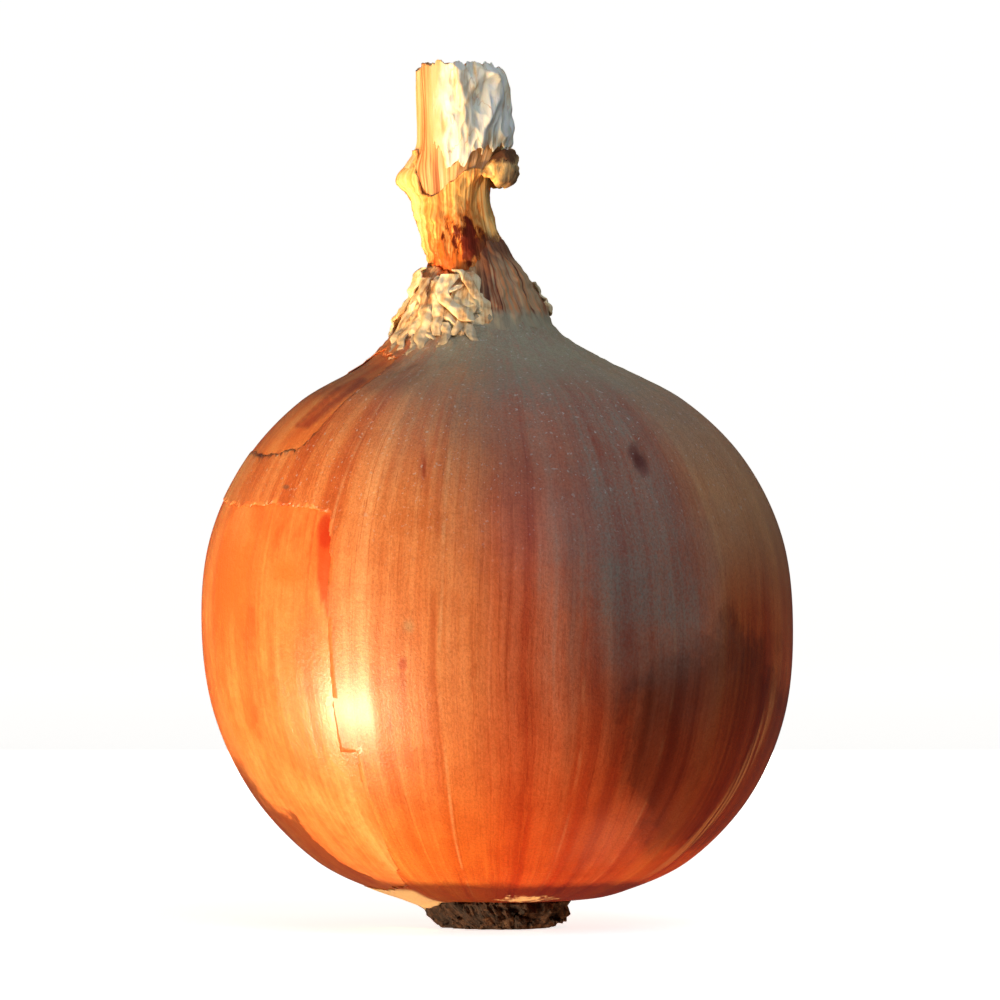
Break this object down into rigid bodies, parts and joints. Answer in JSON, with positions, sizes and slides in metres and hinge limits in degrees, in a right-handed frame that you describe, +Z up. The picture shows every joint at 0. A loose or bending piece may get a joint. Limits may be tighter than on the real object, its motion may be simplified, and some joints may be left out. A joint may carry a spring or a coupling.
{
  "type": "onion",
  "caption": "Brown storage onion with a torn papery outer skin, a dry cut neck and a rough root plate that it stands on.",
  "frame": {"origin": "centre of the flat spot of the root plate, on the surface that the onion stands on", "axes": "+Z up from the root plate to the neck, -Y towards the side with the torn skin on its left, +X to that side's right"},
  "size_m": [0.0753, 0.0766, 0.1107],
  "materials": {
    "inner_skin": "glossy dry inner skin, saturated orange with fine lengthwise veins",
    "papery_skin": "thin glossy papery skin, golden to red-brown, veined, with grey dust",
    "neck_fibre": "dry wrinkled fibrous leaf sheath, tan to orange",
    "sheath": "dry yellow-orange fibrous sheath with a dark red-brown stain",
    "pale_leaf": "matte crumpled papery leaf, cream to grey",
    "shreds": "matte pale tan torn skin",
    "root": "rough dark dried root plate"
  },
  "bodies": {
    "root": {"bulb": "inner_skin", "outer_skin": "papery_skin", "neck": "neck_fibre", "neck_sheath": "sheath", "neck_leaf": "pale_leaf", "collar": "shreds", "root_plate": "root"}
  },
  "joints": []
}
